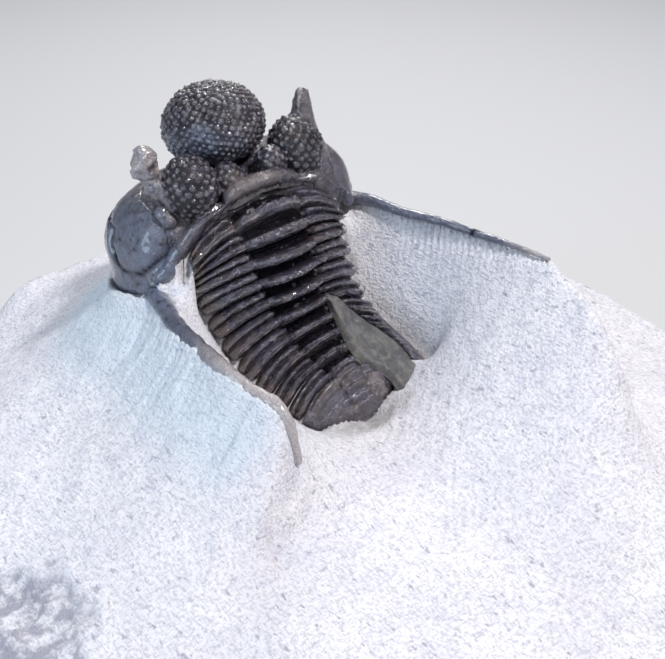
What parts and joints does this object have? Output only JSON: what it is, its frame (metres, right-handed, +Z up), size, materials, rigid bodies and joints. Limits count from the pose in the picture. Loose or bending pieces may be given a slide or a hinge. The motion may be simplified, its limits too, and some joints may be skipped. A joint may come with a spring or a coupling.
{
  "type": "trilobite fossil on limestone matrix",
  "caption": "Prepared trilobite fossil with inflated granular head, long genal spines, ringed thorax and small tail, standing free on a block of pale limestone",
  "frame": {"origin": "middle of the bounding box in plan, on the flat sawn base", "axes": "+Z up out of the flat base, the animal's head towards +Y and its tail towards -Y, its right side towards +X"},
  "size_m": [0.046, 0.046, 0.026],
  "materials": {
    "limestone": "air-abraded off-white limestone, matte, with fine grey tool specks",
    "cuticle": "black-violet calcified cuticle, glossy, with brown and blue-grey patches",
    "grey_fill": "smooth matte grey-olive fill"
  },
  "bodies": {
    "root": {"matrix": "limestone", "cranidium": "cuticle", "left_free_cheek": "cuticle", "right_free_cheek": "cuticle", "thorax_segment_01": "cuticle", "thorax_segment_02": "cuticle", "thorax_segment_03": "cuticle", "thorax_segment_04": "cuticle", "thorax_segment_05": "cuticle", "thorax_segment_06": "cuticle", "thorax_segment_07": "cuticle", "thorax_segment_08": "cuticle", "thorax_segment_09": "cuticle", "thorax_segment_10": "cuticle", "pygidium": "cuticle", "grey_infill": "grey_fill"}
  },
  "joints": []
}
